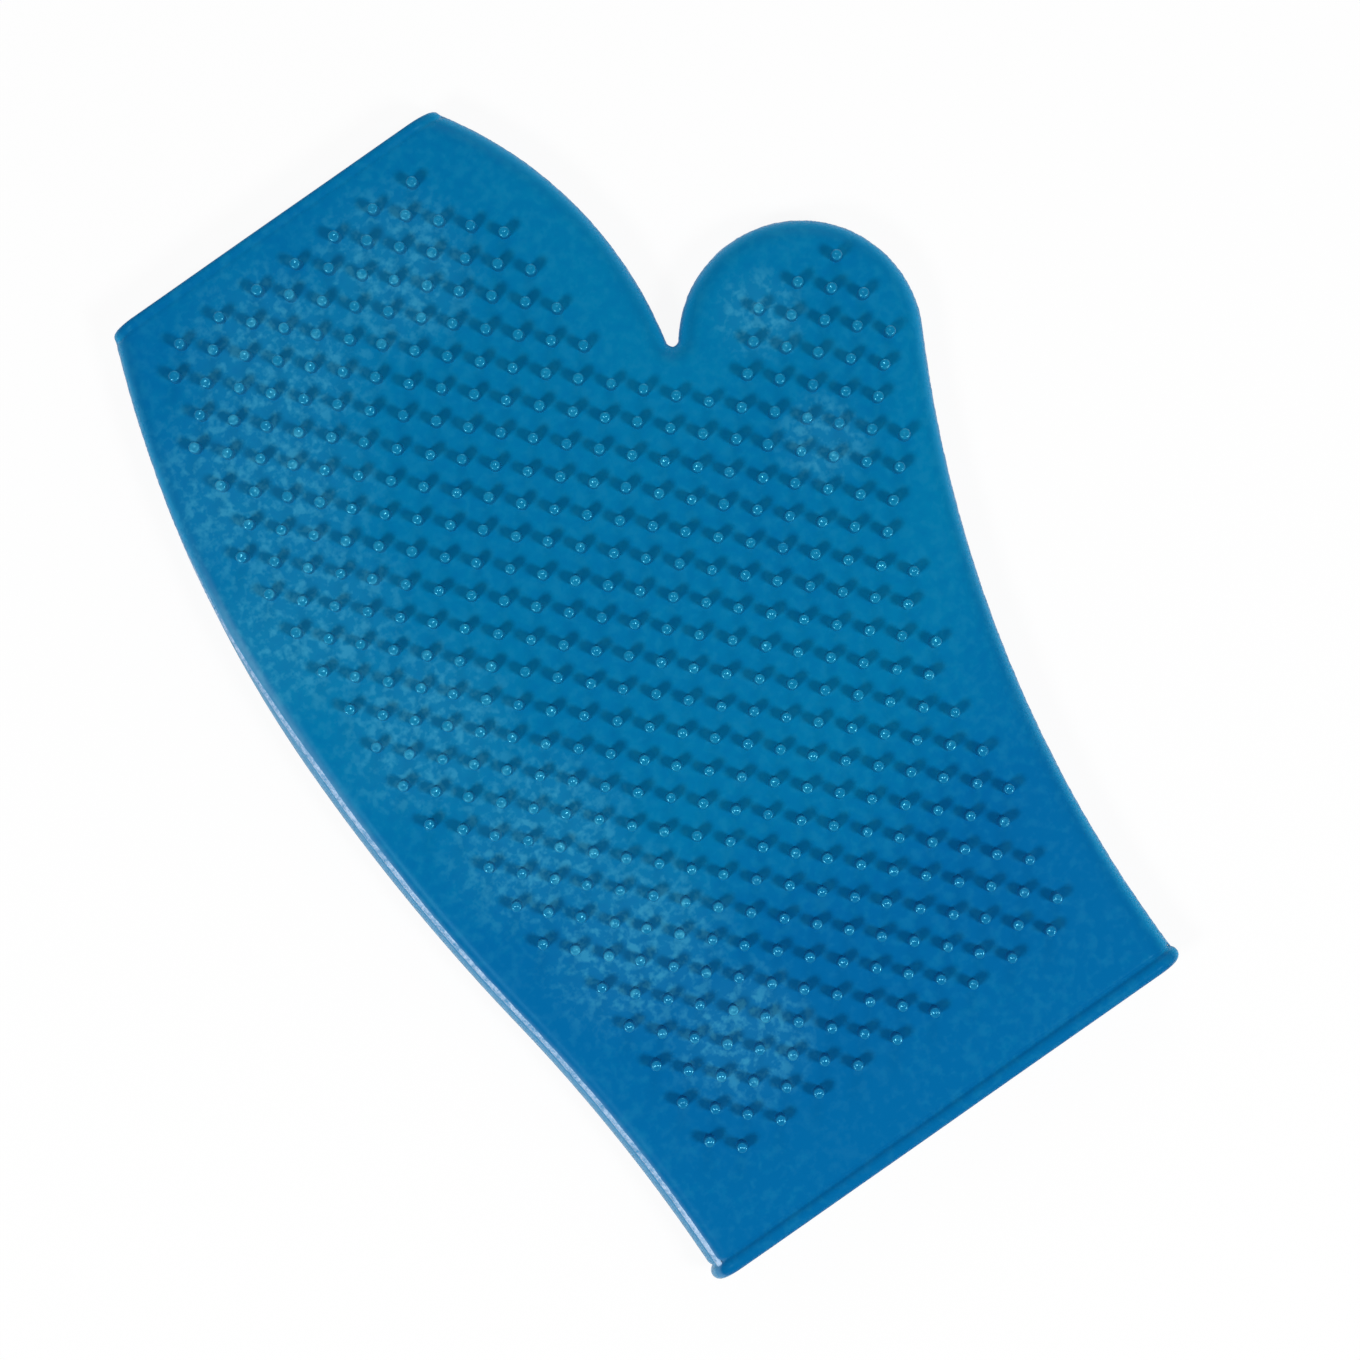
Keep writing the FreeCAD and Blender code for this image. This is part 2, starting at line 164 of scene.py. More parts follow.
# The noises in the rubber: scale, detail, roughness and, for the coarser ones, distortion
WIDE = (22.0, 3.0, 0.55, 0.4)
SMALL = (130.0, 3.0, 0.55, 0.4)
RAGGED = (400.0, 2.5, 0.5, 0.2)
GRAIN = (760.0, 2.0, 0.5)
FINE = (1100.0, 2.0, 0.5)

# Where the bloom lies thickest on the palm: middle and reach of each patch, in millimetres
BLOOM_PATCHES = [
    ((-52.0, 72.0), 32.0),
    ((-60.0, 44.0), 28.0),
    ((-36.0, 90.0), 28.0),
    ((-6.0, 92.0), 24.0),
    ((-54.0, 12.0), 26.0),
    ((-48.0, -20.0), 27.0),
    ((-44.0, -48.0), 27.0),
    ((-37.0, -76.0), 21.0),
    ((50.0, 42.0), 13.0),
    ((46.0, 14.0), 13.0),
]
PALM_HEIGHT = 12.4
THICKEST_WITHIN = 0.25
DUST_EVERYWHERE = 0.12
RAGGED_BLOTCHES, GRAINY_BLOTCHES, SMALL_BLOTCHES, BLOTCH_COVER = 4.4, 2.8, 1.2, 0.14
BLOOM_SHARE, DUST_SHARE = 0.56, 0.13

# The middle of the palm is greener: its middle, its reach, and how far it is greenest
GREEN_MIDDLE = ((2.0, 30.0), 112.0, 62.0)
GREEN_SHARE, GREEN_WAVES, GREEN_SPECKS = 0.85, 0.9, 1.1

# Heights between which the palm turns into the side, and the back into the side; between them the
# rounded sides are painted paler, a painted reflection of the white table and the light around
SIDE_FROM_PALM, SIDE_FROM_BACK = (11.7 * MM, 9.4 * MM), (3.0 * MM, 5.0 * MM)

# The paler band on the little finger's side: on its shoulder and, thicker, below the rolled flash line.
# It ends above the back, towards the finger end and away from that side, and a crease runs through it
# as a darker line of painted shade
SHOULDER, SHOULDER_PALENESS = (12.1 * MM, 11.3 * MM), 0.45
FLANK, FLANK_PALENESS = (10.5 * MM, 10.1 * MM), 0.6
FLANK_FOOT = (4.0 * MM, 6.0 * MM)
FLANK_ALONG, FLANK_ACROSS = (78.0 * MM, 40.0 * MM), (-40.0 * MM, -45.0 * MM)
FLANK_LEAST, FLANK_SPECKS = 0.75, 0.5
CREASE_FOOT, CREASE_TOP, CREASE_SHADE_DEPTH = (9.55 * MM, 9.75 * MM), (10.15 * MM, 9.95 * MM), 0.4

# The nubs' tips are polished, and painted paler as a painted highlight. Roughness and relief follow the
# bloom and the noises
TIPS, TIP_HIGHLIGHT_SHARE, TIP_POLISH = (15.7 * MM, 16.2 * MM), 0.16, 0.37
BLOOM_ROUGHNESS, SMALL_ROUGHNESS = 0.25, 0.08
WIDE_RELIEF, SMALL_RELIEF, FINE_RELIEF, BLOOM_RELIEF = 0.25, 0.07, 0.010, 0.02
RELIEF_STRENGTH, RELIEF_DISTANCE = 0.6, 1.0 * MM


def mitt_rubber(name, specular, roughness):
    rubber = Shader(bpy.data.materials.new(name), "Principled BSDF")
    place = rubber.moulded_place()
    across, along, height = (rubber.part(place, axis) for axis in "XYZ")
    noises = (rubber.speckle(place, *sizes) for sizes in (WIDE, SMALL, RAGGED, GRAIN, FINE))
    wide, small, ragged, grain, fine = noises

    def around(middle, reach, core):
        """1 within the core of a place on the palm, 0 beyond its reach."""
        spot = (middle[0] * MM, middle[1] * MM, PALM_HEIGHT * MM)
        settings = {"operation": "DISTANCE"}
        away = rubber.node("ShaderNodeVectorMath", settings, {0: place, 1: spot}, output="Value")
        return away.rise(reach * MM, core * MM)

    dusted = DUST_EVERYWHERE
    for middle, reach in BLOOM_PATCHES:
        dusted = around(middle, reach, THICKEST_WITHIN * reach).maths("MAXIMUM", dusted)
    blotches = ragged.swing(RAGGED_BLOTCHES) + grain.swing(GRAINY_BLOTCHES)
    blotches = (blotches + small.swing(SMALL_BLOTCHES) + BLOTCH_COVER).clamped()
    bloom = blotches * dusted

    greener = around(*GREEN_MIDDLE) * GREEN_SHARE + wide.swing(GREEN_WAVES)
    greener = (greener + ragged.swing(GREEN_SPECKS)).clamped()
    colour = rubber.blend(greener, DEEP_BLUE, SEA_BLUE)
    paler = (bloom * BLOOM_SHARE + dusted * DUST_SHARE).clamped()
    colour = rubber.blend(paler, colour, BLOOM_BLUE)
    # Painted reflection: the rounded sides are painted paler, as the white table and the light around
    # would show on them
    sides = height.rise(*SIDE_FROM_PALM) * height.rise(*SIDE_FROM_BACK)
    colour = rubber.blend(sides, colour, SIDE_REFLECTION_BLUE)

    flank = height.rise(*SHOULDER) * SHOULDER_PALENESS + height.rise(*FLANK) * FLANK_PALENESS
    flank = flank * height.rise(*FLANK_FOOT) * along.rise(*FLANK_ALONG)
    flank = flank * across.rise(*FLANK_ACROSS)
    # Painted shade: the crease is painted darker, with less of the paler band
    crease_shade = height.rise(*CREASE_FOOT) * height.rise(*CREASE_TOP)
    flank = flank * (FLANK_LEAST + ragged * FLANK_SPECKS) * (1 - crease_shade * CREASE_SHADE_DEPTH)
    colour = rubber.blend(flank.clamped(), colour, EDGE_BLUE)

    tips = height.rise(*TIPS)
    # Painted highlight: the nubs' tips are painted paler
    colour = rubber.blend(tips * TIP_HIGHLIGHT_SHARE, colour, TIP_HIGHLIGHT_BLUE)
    rough = bloom * BLOOM_ROUGHNESS + small.swing(SMALL_ROUGHNESS) - tips * TIP_POLISH + roughness
    relief = wide * WIDE_RELIEF + small * SMALL_RELIEF + fine * FINE_RELIEF + bloom * BLOOM_RELIEF
    surface = {
        "Base Color": colour,
        "Roughness": rough,
        "Normal": rubber.bump(relief, RELIEF_STRENGTH, RELIEF_DISTANCE),
        "Specular IOR Level": specular,
        "Specular Tint": GLINT,
    }
    rubber.connect(rubber.main, surface)
    return rubber.owner


WALL_SPECULAR, WALL_ROUGHNESS = 0.05, 0.27
RUBBER = mitt_rubber("mitt_rubber", WALL_SPECULAR, WALL_ROUGHNESS)


# The mitt's skin. One seamless rubber tube, flat as it comes off its core: a palm wall and a back wall
# 1.8 mm thick, joined by rounded sides, and a thumb stall that is closed at its end. It is made here in
# three pieces that meet without a seam, each lying over one of its folds.

CUFF_END, FINGER_END = -115.0, 115.0
RIM_BAND = 6.0
BACK_FACE = 1.2
HALF_THICKNESS = 5.6
MIDDLE = BACK_FACE + HALF_THICKNESS
EDGE_ROUND = 5.4
WALL = 1.8
SIDE_FLAT = HALF_THICKNESS - EDGE_ROUND

# Where each fold starts and ends: along Y, and from the notch outwards for the thumb's
WRIST_FOLD = (2.6, -40.0)
KNUCKLE_FOLD = (49.9, 78.3)
THUMB_FOLD = (-0.7, 12.0)


class Arc:
    """A piece of a circle of the outline, which lies towards an angle, in degrees, from its centre.

    The mitt lies inside the circle where fill is 1, and outside it where fill is -1.
    """

    def __init__(self, x, y, radius, fill, towards):
        self.centre = np.array([x, y])
        self.radius = radius
        self.fill = fill
        self.towards = math.radians(towards)

    def angle(self, limit, inset):
        """Where a limit, an angle or a straight cut through a point, meets the arc moved inwards."""
        if not isinstance(limit, tuple):
            return limit
        point, run = (np.array(part, float) for part in limit)
        run /= np.linalg.norm(run)
        from_centre = point - self.centre
        half = from_centre @ run
        reach = self.radius - self.fill * inset
        root = math.sqrt(half**2 - from_centre @ from_centre + reach**2)
        found = []
        for step in (-half - root, -half + root):
            spot = from_centre + step * run
            turn = math.atan2(spot[1], spot[0]) - self.towards
            found.append((turn + math.pi) % (2 * math.pi) - math.pi)
        return min(found, key=abs) + self.towards

    def spot(self, start, stop, share, inset):
        """The point at a share of the way between two limits, moved inwards."""
        first = self.angle(start, inset)
        turn = first + (self.angle(stop, inset) - first) * share
        reach = self.radius - self.fill * inset
        return self.centre + reach * np.array([math.cos(turn), math.sin(turn)])

    def points(self, start, stop, count, inset):
        return np.array([self.spot(start, stop, step / count, inset) for step in range(count + 1)])


def touching(first, second):
    """The angle on the first arc where it touches the second."""
    across = second.centre - first.centre
    turn = math.atan2(across[1], across[0]) - first.towards
    return (turn + math.pi) % (2 * math.pi) - math.pi + first.towards


def level(y):
    """A straight cut across the mitt."""
    return ((0.0, y), (1.0, 0.0))


# The little finger's side: two arcs that touch at the widest point and a hollow one down to the cuff
WIDEST_X, WIDEST_Y = -79.0, 18.6
FINGER_RADIUS, HAND_RADIUS, CUFF_RADIUS = 259.0, 440.0, 364.0
TURN_Y = -48.0
OUTER_FINGER = Arc(WIDEST_X + FINGER_RADIUS, WIDEST_Y, FINGER_RADIUS, 1, 165)
OUTER_HAND = Arc(WIDEST_X + HAND_RADIUS, WIDEST_Y, HAND_RADIUS, 1, 182)
turn_angle = OUTER_HAND.angle(level(TURN_Y), 0)
turn_across = np.array([math.cos(turn_angle), math.sin(turn_angle)])
hollow_centre = OUTER_HAND.centre + turn_across * (OUTER_HAND.radius + CUFF_RADIUS)
OUTER_CUFF = Arc(*hollow_centre, CUFF_RADIUS, -1, 3)

# The thumb's side: the forefinger's arc, the thumb's own, and a hollow one down to the waist
INDEX_X, INDEX_Y, INDEX_RADIUS = 33.4, 68.0, 84.0
FINGER_SIDE = Arc(INDEX_X - INDEX_RADIUS, INDEX_Y, INDEX_RADIUS, 1, 10)
THUMB = Arc(54.0, 32.9, 25.0, 1, 60)
WAIST = np.array([44.9, -104.0])
reach_x, reach_y = THUMB.centre - WAIST
inner_radius = (reach_x**2 + reach_y**2 - THUMB.radius**2) / (2 * (reach_x + THUMB.radius))
INNER_CUFF = Arc(WAIST[0] + inner_radius, WAIST[1], inner_radius, -1, 160)

# The notch between forefinger and thumb is a small arc that touches both of theirs
NOTCH_RADIUS = 1.5
to_thumb = THUMB.centre - FINGER_SIDE.centre
apart = np.linalg.norm(to_thumb)
long_side, short_side = FINGER_SIDE.radius + NOTCH_RADIUS, THUMB.radius + NOTCH_RADIUS
foot = (long_side**2 - short_side**2 + apart**2) / (2 * apart)
sideways = np.array([-to_thumb[1], to_thumb[0]]) / apart
notch_centre = (
    FINGER_SIDE.centre + to_thumb / apart * foot + sideways * math.sqrt(long_side**2 - foot**2)
)
NOTCH = Arc(*notch_centre, NOTCH_RADIUS, -1, -110)

# The cuts between the pieces: level ones, and one at 45 degrees through the notch for the thumb
FOLD_OUT = np.array([1.0, 1.0]) / math.sqrt(2)
FOLD_RUN = (1.0, -1.0)
THUMB_CUT = (tuple(notch_centre + THUMB_FOLD[0] * FOLD_OUT), FOLD_RUN)
HAND_CUT = level(WRIST_FOLD[0])
CUFF_CUT = level(CUFF_END + RIM_BAND)
FINGER_CUT = level(FINGER_END - RIM_BAND)

# Each piece goes round clockwise: sides as arcs, each with its two limits and number of steps, and
# straight cuts between them, named by how many steps they are divided into
STRAIGHT = "straight"
SKINS = {
    "cuff_skin": [
        (OUTER_CUFF, CUFF_CUT, OUTER_CUFF.angle(level(TURN_Y), 0), 52),
        (OUTER_HAND, turn_angle, HAND_CUT, 42),
        (STRAIGHT, 26),
        (INNER_CUFF, HAND_CUT, CUFF_CUT, 84),
        (STRAIGHT, 24),
    ],
    "hand_skin": [
        (OUTER_HAND, HAND_CUT, math.pi, 14),
        (OUTER_FINGER, math.pi, FINGER_CUT, 80),
        (STRAIGHT, 18),
        (FINGER_SIDE, FINGER_CUT, touching(FINGER_SIDE, NOTCH), 52),
        (NOTCH, touching(NOTCH, FINGER_SIDE), THUMB_CUT, 14),
        (STRAIGHT, 10),
        (INNER_CUFF, THUMB_CUT, HAND_CUT, 8),
        (STRAIGHT, 26),
    ],
    "thumb_skin": [
        (NOTCH, THUMB_CUT, touching(NOTCH, THUMB), 6),
        (THUMB, touching(THUMB, NOTCH), touching(THUMB, INNER_CUFF), 84),
        (INNER_CUFF, touching(INNER_CUFF, THUMB), THUMB_CUT, 12),
        (STRAIGHT, 10),
    ],
}

# The long waves of the soft palm wall: height, turn per millimetre along X and Y, and phase
WAVES = [(0.13, 0.045, 0.031, 0.6), (0.10, -0.052, 0.063, 0.0), (0.05, 0.16, 0.09, 2.0)]


def unevenness(x, y):
    """How far the soft palm wall lies above or below its mean plane."""
    return sum(high * math.sin(by_x * x + by_y * y + phase) for high, by_x, by_y, phase in WAVES)


def lifted(points, reach, turn):
    """Points of an outline as a row of the rounded side: turn is 90 on the palm and -90 on the back."""
    up = math.sin(math.radians(turn))
    flat = SIDE_FLAT * (1 if turn > 0 else -1 if turn < 0 else 0)
    rows = []
    for x, y in points:
        wave = unevenness(x, y) * max(0.0, up)
        rows.append((x, y, MIDDLE + flat + reach * up + wave))
    return rows


def strips(rows, outwards):
    """Quads between rows of points that have as many points each."""
    faces = []
    corners = []
    for row in rows:
        corners.extend(row)
    width = len(rows[0])
    for line in range(len(rows) - 1):
        for step in range(width - 1):
            a = line * width + step
            quad = (a, a + 1, a + width + 1, a + width)
            faces.append(quad if outwards else quad[::-1])
    return corners, faces


# The rows of the rounded sides, in degrees from the palm, at 90, to the back
OUTSIDE_TURNS = [90 - 9 * step for step in range(21)]
INSIDE_TURNS = [90 - 18 * step for step in range(11)]
WALL_GRID = 5.0
CLEAR_OF_EDGE = 0.55 * WALL_GRID
SAME_POINT = 1e-6
TRIANGLES_INSIDE = 1


class Skin:
    """Corners and faces of one piece of rubber, in millimetres."""

    def __init__(self):
        self.corners = []
        self.faces = []

    def add(self, corners, faces):
        start = len(self.corners)
        self.corners.extend(corners)
        self.faces.extend(tuple(start + corner for corner in face) for face in faces)


def side_rows(arc, start, stop, count, reach, turns):
    rows = []
    for turn in turns:
        inset = EDGE_ROUND - reach * math.cos(math.radians(turn))
        rows.append(lifted(arc.points(start, stop, count, inset), reach, turn))
    return rows


def flat_triangles(loop):
    """A flat wall inside a loop: its triangles follow a grid, so that it can bend."""
    lowest, highest = loop.min(axis=0), loop.max(axis=0)
    inside = []
    for x in np.arange(lowest[0], highest[0], WALL_GRID):
        for y in np.arange(lowest[1], highest[1], WALL_GRID):
            if np.hypot(loop[:, 0] - x, loop[:, 1] - y).min() > CLEAR_OF_EDGE:
                inside.append(Vector((x, y)))
    spots = [Vector(point) for point in loop] + inside
    border = [list(range(len(loop)))]
    made = geometry.delaunay_2d_cdt(spots, [], border, TRIANGLES_INSIDE, SAME_POINT)
    return [tuple(point) for point in made[0]], [tuple(face) for face in made[2]]


def make_skin(boundary):
    skin = Skin()
    loop = []
    for place, entry in enumerate(boundary):
        if entry[0] == STRAIGHT:
            following = boundary[(place + 1) % len(boundary)]
            target = following[0].points(*following[1:], EDGE_ROUND)[0]
            steps = np.linspace(0, 1, entry[1] + 1)[1:-1, None]
            loop.extend(loop[-1] + (target - loop[-1]) * steps)
            continue
        points = entry[0].points(*entry[1:], EDGE_ROUND)
        goes_on = loop and np.hypot(*(loop[-1] - points[0])) < SAME_POINT
        loop.extend(points[1:] if goes_on else points)
        skin.add(*strips(side_rows(*entry, EDGE_ROUND, OUTSIDE_TURNS), True))
        skin.add(*strips(side_rows(*entry, EDGE_ROUND - WALL, INSIDE_TURNS), False))
    points, triangles = flat_triangles(np.array(loop))
    (ax, ay), (bx, by), (cx, cy) = (points[corner] for corner in triangles[0])
    turns_left = (bx - ax) * (cy - ay) > (by - ay) * (cx - ax)
    upwards = triangles if turns_left else [face[::-1] for face in triangles]
    downwards = [face[::-1] for face in upwards]
    for reach, faces in ((EDGE_ROUND, upwards), (EDGE_ROUND - WALL, downwards)):
        skin.add(lifted(points, reach, 90), faces)
    for reach, faces in ((EDGE_ROUND, downwards), (EDGE_ROUND - WALL, upwards)):
        skin.add(lifted(points, reach, -90), faces)
    return skin


JOIN_WITHIN = 0.002


def mesh_piece(name, corners, faces, material):
    """A smooth-shaded object from millimetre corners, with corners that coincide joined."""
    mesh = bpy.data.meshes.new(name)
    mesh.from_pydata((np.array(corners) * MM).tolist(), [], faces)
    form = bmesh.new()
    form.from_mesh(mesh)
    bmesh.ops.remove_doubles(form, verts=form.verts, dist=JOIN_WITHIN * MM)
    form.to_mesh(mesh)
    form.free()
    mesh.polygons.foreach_set("use_smooth", [True] * len(mesh.polygons))
    mesh.materials.append(material)
    places = np.zeros(3 * len(mesh.vertices), np.float32)
    mesh.vertices.foreach_get("co", places)
    moulded = mesh.attributes.new(MOULDED_AT, "FLOAT_VECTOR", "POINT")
    moulded.data.foreach_set("vector", places)
    piece = bpy.data.objects.new(name, mesh)
    bpy.context.scene.collection.objects.link(piece)
    return piece


skins = {}
for name, boundary in SKINS.items():
    shape = make_skin(boundary)
    skins[name] = mesh_piece(name, shape.corners, shape.faces, RUBBER)


# The rims. The rubber is rolled into a round bead all round both mouths, so that they don't tear:
# 3.3 mm thick at the cuff and 2.2 mm at the finger end, with a fine groove where it meets the wall.

# The bead's round, in degrees: how far below the wall's face it starts, and where it ends inside
BEAD_BELOW_WALL, BEAD_STOP = 5, 208
BEAD_STEPS = 16
INNER_CORNER = 0.55

# The groove, from the wall to the bead: distance from the bead's root, and share of its full depth
GROOVE = [(1.5, 0.0), (1.05, 0.15), (0.7, 0.6), (0.4, 1.0)]

# Each rim: its end and which way it faces, the bead's radius, the groove's depth, the two sides and
# the steps across
RIMS = {
    "cuff_rim": (CUFF_END, -1, 1.65, 0.40, OUTER_CUFF, INNER_CUFF, 24),
    "finger_rim": (FINGER_END, 1, 1.10, 0.22, OUTER_FINGER, FINGER_SIDE, 18),
}


def rim_profile(end, way, radius, groove):
    """Y and height above the wall's outer face, from the skin over the bead and back inside."""
    level_run = math.sqrt(radius**2 - (WALL / 2) ** 2)
    root = radius + level_run
    profile = [(RIM_BAND, 0.0)] + [(root + away, -depth * groove) for away, depth in GROOVE]
    start = -math.asin(level_run / radius) - math.radians(BEAD_BELOW_WALL)
    stop = math.radians(BEAD_STOP)
    for step in range(BEAD_STEPS + 1):
        turn = start + (stop - start) * step / BEAD_STEPS
        profile.append((radius * (1 - math.sin(turn)), radius * math.cos(turn) - WALL / 2))
    profile += [(root + INNER_CORNER, -WALL), (RIM_BAND, -WALL)]
    return [(end - way * inwards, height) for inwards, height in profile]


def rim_row(y, height, outer, inner, steps):
    """One closed row round a mouth at a height above the outer face."""
    reach = EDGE_ROUND + height
    sides = {}
    for side, arc in (("outer", outer), ("inner", inner)):
        sides[side] = []
        for turn in OUTSIDE_TURNS:
            inset = EDGE_ROUND - reach * math.cos(math.radians(turn))
            cut = arc.angle(level(y), inset)
            spread = arc.radius - arc.fill * inset
            sides[side].append(arc.centre[0] + spread * math.cos(cut))
    share = np.linspace(0, 1, steps + 1)[1:-1]
    palm = [(x, y) for x in sides["outer"][0] + (sides["inner"][0] - sides["outer"][0]) * share]
    row = lifted(palm, reach, 90)
    for x, turn in zip(sides["inner"], OUTSIDE_TURNS):
        row += lifted([(x, y)], reach, turn)
    row += lifted(palm[::-1], reach, -90)
    for x, turn in zip(sides["outer"][::-1], OUTSIDE_TURNS[::-1]):
        row += lifted([(x, y)], reach, turn)
    return row + row[:1]


for name, (end, way, radius, groove, outer, inner, steps) in RIMS.items():
    furthest = end - way * radius
    rows = []
    for y, height in rim_profile(end, way, radius, groove):
        # Past its own middle the bead keeps the outline that it has there
        held_y = way * min(way * y, way * furthest)
        row = rim_row(held_y, height, outer, inner, steps)
        rows.append([(x, y, z) for x, _, z in row])
    corners, faces = strips(rows, way > 0)
    skins[name] = mesh_piece(f"{name}_rolled", corners, faces, RUBBER)

# Corners are matched on steps of this size, shifted so that round sizes lie well within a step
MATCH_STEP, MATCH_SHIFT = 0.01 * MM, 0.37
LEAST_LENGTH = 1e-12


def share_normals(pieces):
    """Shades pieces that meet edge to edge as one surface."""
    places, sums = [], []
    for piece in pieces:
        mesh = piece.data
        spots = np.zeros(3 * len(mesh.vertices))
        mesh.vertices.foreach_get("co", spots)
        normals = np.zeros((len(mesh.vertices), 3))
        for face in mesh.polygons:
            normals[list(face.vertices)] += np.array(face.normal) * face.area
        places.append(spots.reshape(-1, 3))
        sums.append(normals)
    keys = np.floor(np.concatenate(places) / MATCH_STEP + MATCH_SHIFT).astype(np.int64)
    shared = np.unique(keys, axis=0, return_inverse=True)[1].ravel()
    total = np.zeros((shared.max() + 1, 3))
    np.add.at(total, shared, np.concatenate(sums))
    whole = total[shared]
    whole /= np.maximum(np.linalg.norm(whole, axis=1), LEAST_LENGTH)[:, None]
    start = 0
    for piece, own in zip(pieces, places):
        piece.data.normals_split_custom_set_from_vertices(whole[start:start + len(own)].tolist())
        start += len(own)


share_normals(list(skins.values()))

# The folds: the bodies on either side of each, and the two ends of the fold; nothing here makes a piece
# bend across them
ALONG_THUMB = (notch_centre + THUMB_FOLD[0] * FOLD_OUT, notch_centre + THUMB_FOLD[1] * FOLD_OUT)
FOLDS = {
    "wrist_band": ("hand", "cuff", [(0.0, y) for y in WRIST_FOLD]),
    "knuckle_band": ("hand", "fingers", [(0.0, y) for y in KNUCKLE_FOLD]),
    "thumb_band": ("hand", "thumb", ALONG_THUMB),
}


def carry(piece, stretch):
    """Attaches a piece to its stretch's body; a piece on a fold only keeps its place and is not made to
    bend.
    """
    if stretch not in FOLDS:
        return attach(piece, stretch)
    first, second, ends = FOLDS[stretch]
    start, end = ((x * MM, y * MM, MIDDLE * MM) for x, y in ends)
    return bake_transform(piece)


SKIN_STRETCHES = {
    "cuff_skin": ("wrist_band", ["cuff", "wrist_band"]),
    "hand_skin": ("knuckle_band", ["hand", "knuckle_band", "fingers"]),
    "thumb_skin": ("thumb_band", ["thumb_band", "thumb"]),
}
for name, (fold, stretches) in SKIN_STRETCHES.items():
    carry(skins[name], fold)
    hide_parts(*(f"{s}_{wall}_wall" for s in stretches for wall in ("palm", "back")))
for name, stretch in (("cuff_rim", "cuff"), ("finger_rim", "fingers")):
    carry(skins[name], stretch)
    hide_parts(name)


# The flash line. Rubber that crept between the two mould halves stands as a thin ridge all round the
# sides, roughly trimmed, so that it is paler and shinier than the skin; part of that paleness is a
# painted highlight. Along the little-finger side it has rolled over onto the palm, as the flat mitt
# lies.

ROLLED_TURN = 50.0
ROLL_START, ROLL_END = 95.0, 15.0
FLASH_HALF_WIDTH, FLASH_ROLLED_WIDTH = 0.62, 0.85
FLASH_HEIGHT, FLASH_ROOT = 0.36, 0.13
FLASH_PLACES = (-1.0, -0.72, -0.4, -0.1, 0.2, 0.5, 0.78, 1.0)
FLASH_FINENESS = 3

# The trimmed edge: how often it changes per millimetre, and how much, in height, width and place
ROUGH_PACE, RAGGED_PACE, WANDER_PACE = 0.5, 1.6, 0.08
ROUGH_SIZE = 0.5
MEAN_HEIGHT, ROUGH_HEIGHT, RAGGED_HEIGHT = 0.8, 0.3, 0.25
ROUGH_WIDTH = 0.15
WANDER, WANDER_SEED = 0.12, 7.0

# The ridge runs on past the ends of the skin pieces and dies away in the rolled rims, this far
# short of the mouths
SHORT_OF_CUFF, SHORT_OF_FINGERS = 2.8, 1.3
FLASH_ENDS = {
    CUFF_CUT: level(CUFF_END + SHORT_OF_CUFF),
    FINGER_CUT: level(FINGER_END - SHORT_OF_FINGERS),
}


def rolled(arc, y):
    """How far the flash line has rolled onto the palm: 1 along the little finger's side."""
    if arc not in (OUTER_CUFF, OUTER_HAND, OUTER_FINGER):
        return 0.0
    share = min(1.0, max(0.0, (ROLL_START - y) / (ROLL_START - ROLL_END)))
    return share * share * (3 - 2 * share)


def flash_rows(arc, start, stop, count):
    """The ridge along one arc, as rows from its edge on the back to its edge on the palm."""
    start, stop = FLASH_ENDS.get(start, start), FLASH_ENDS.get(stop, stop)
    steps = FLASH_FINENESS * count
    rows = []
    for across in FLASH_PLACES:
        row = []
        for step in range(steps + 1):
            share = step / steps
            x, y = arc.spot(start, stop, share, 0.0)
            roll = rolled(arc, y)
            rough = noise.noise(Vector((x * ROUGH_PACE, y * ROUGH_PACE, 2 * across))) * ROUGH_SIZE
            ragged = noise.noise(Vector((x * RAGGED_PACE, y * RAGGED_PACE, across)))
            wander = WANDER * noise.noise(Vector((x * WANDER_PACE, y * WANDER_PACE, WANDER_SEED)))
            trimmed = MEAN_HEIGHT + ROUGH_HEIGHT * rough + RAGGED_HEIGHT * ragged
            height = FLASH_HEIGHT * (1 - across**2) * trimmed - FLASH_ROOT
            half_width = FLASH_HALF_WIDTH + (FLASH_ROLLED_WIDTH - FLASH_HALF_WIDTH) * roll
            offset = half_width * across * (1 + ROUGH_WIDTH * rough) + wander
            turn = ROLLED_TURN * roll + math.degrees(offset / EDGE_ROUND)
            reach = EDGE_ROUND + height
            inset = EDGE_ROUND - reach * math.cos(math.radians(turn))
            spot = arc.spot(start, stop, share, inset)
            row += lifted([spot], reach, turn)
        rows.append(row)
    return rows


# The trimmed rubber is streaked pale, most where it has rolled onto the palm; the streaks are partly
# its own colour and partly a painted highlight
FLASH_BLUE, FLASH_PALE_AND_HIGHLIGHT = rgba(0.040, 0.255, 0.500), rgba(0.440, 0.620, 0.850)
TORN, WORN = (1100.0, 4.0, 0.75), (110.0, 3.0, 0.6)
TORN_STREAKS, WORN_STREAKS = 3.0, 1.2
LEAST_PALE, PALE_AND_HIGHLIGHT_ON_PALM, PALE_HEIGHTS = 0.14, 0.44, (7.6 * MM, 10.2 * MM)
FLASH_SMOOTHEST, FLASH_ROUGHER = 0.34, 0.2
TORN_STRENGTH, TORN_DISTANCE = 0.5, 0.3 * MM
FLASH_SPECULAR = 0.3


